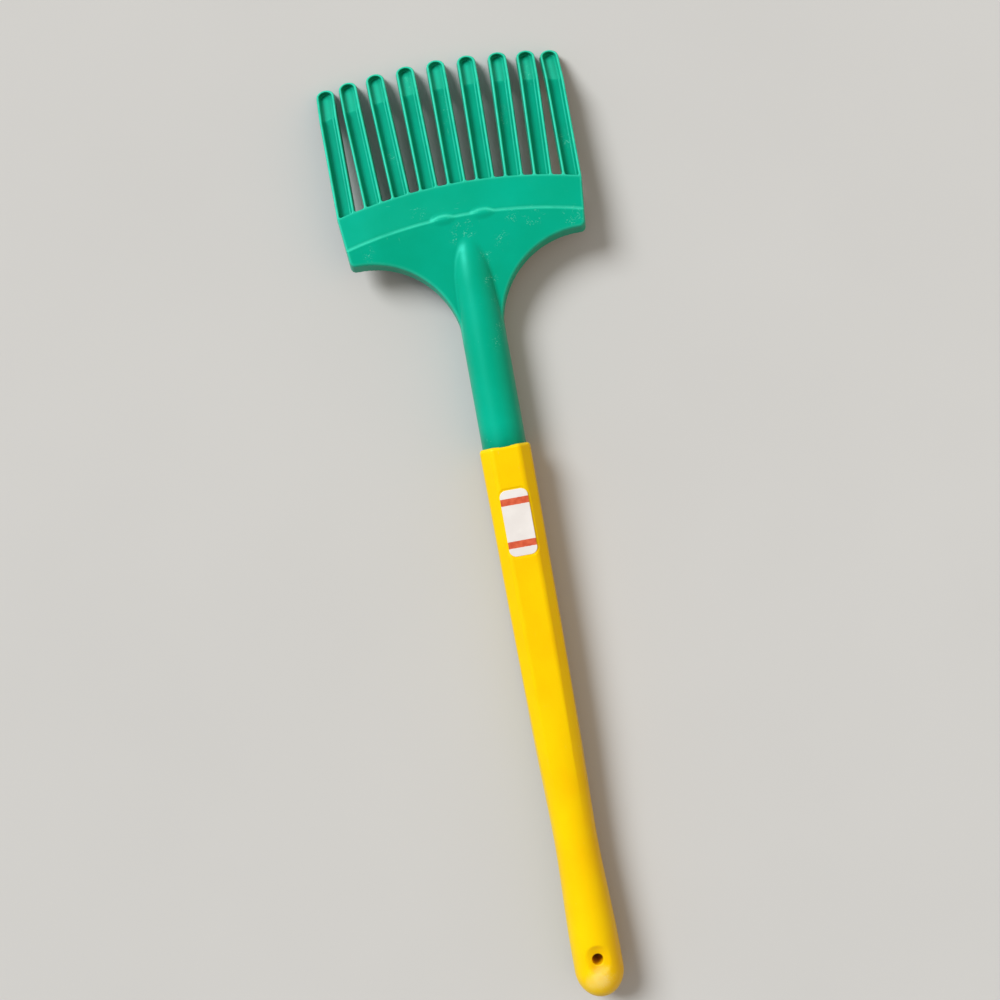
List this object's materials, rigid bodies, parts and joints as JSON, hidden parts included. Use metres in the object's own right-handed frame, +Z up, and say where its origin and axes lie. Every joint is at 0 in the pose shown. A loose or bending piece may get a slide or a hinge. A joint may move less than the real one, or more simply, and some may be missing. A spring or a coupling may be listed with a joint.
{
  "type": "toy sand rake",
  "caption": "Toy sand rake: a moulded green head with bent channel tines plugged into a hollow faceted yellow handle with a waist, a knob and a hang hole.",
  "frame": {"origin": "on the floor under the middle of the rake's length, as it lies on its handle and tine tips", "axes": "+Y along the handle towards the tines, +Z up, +X across the tines"},
  "size_m": [0.1458, 0.5599, 0.0301],
  "materials": {
    "green_plastic": "satin sea-green polyethylene with pale scuffs on its edges",
    "yellow_plastic": "satin golden-yellow polyethylene, lightly soiled",
    "label_film": "smooth printed film, warm white with plain orange-red bands"
  },
  "bodies": {
    "root": {"rake_head": "green_plastic", "handle": "yellow_plastic", "label": "label_film"}
  },
  "joints": []
}
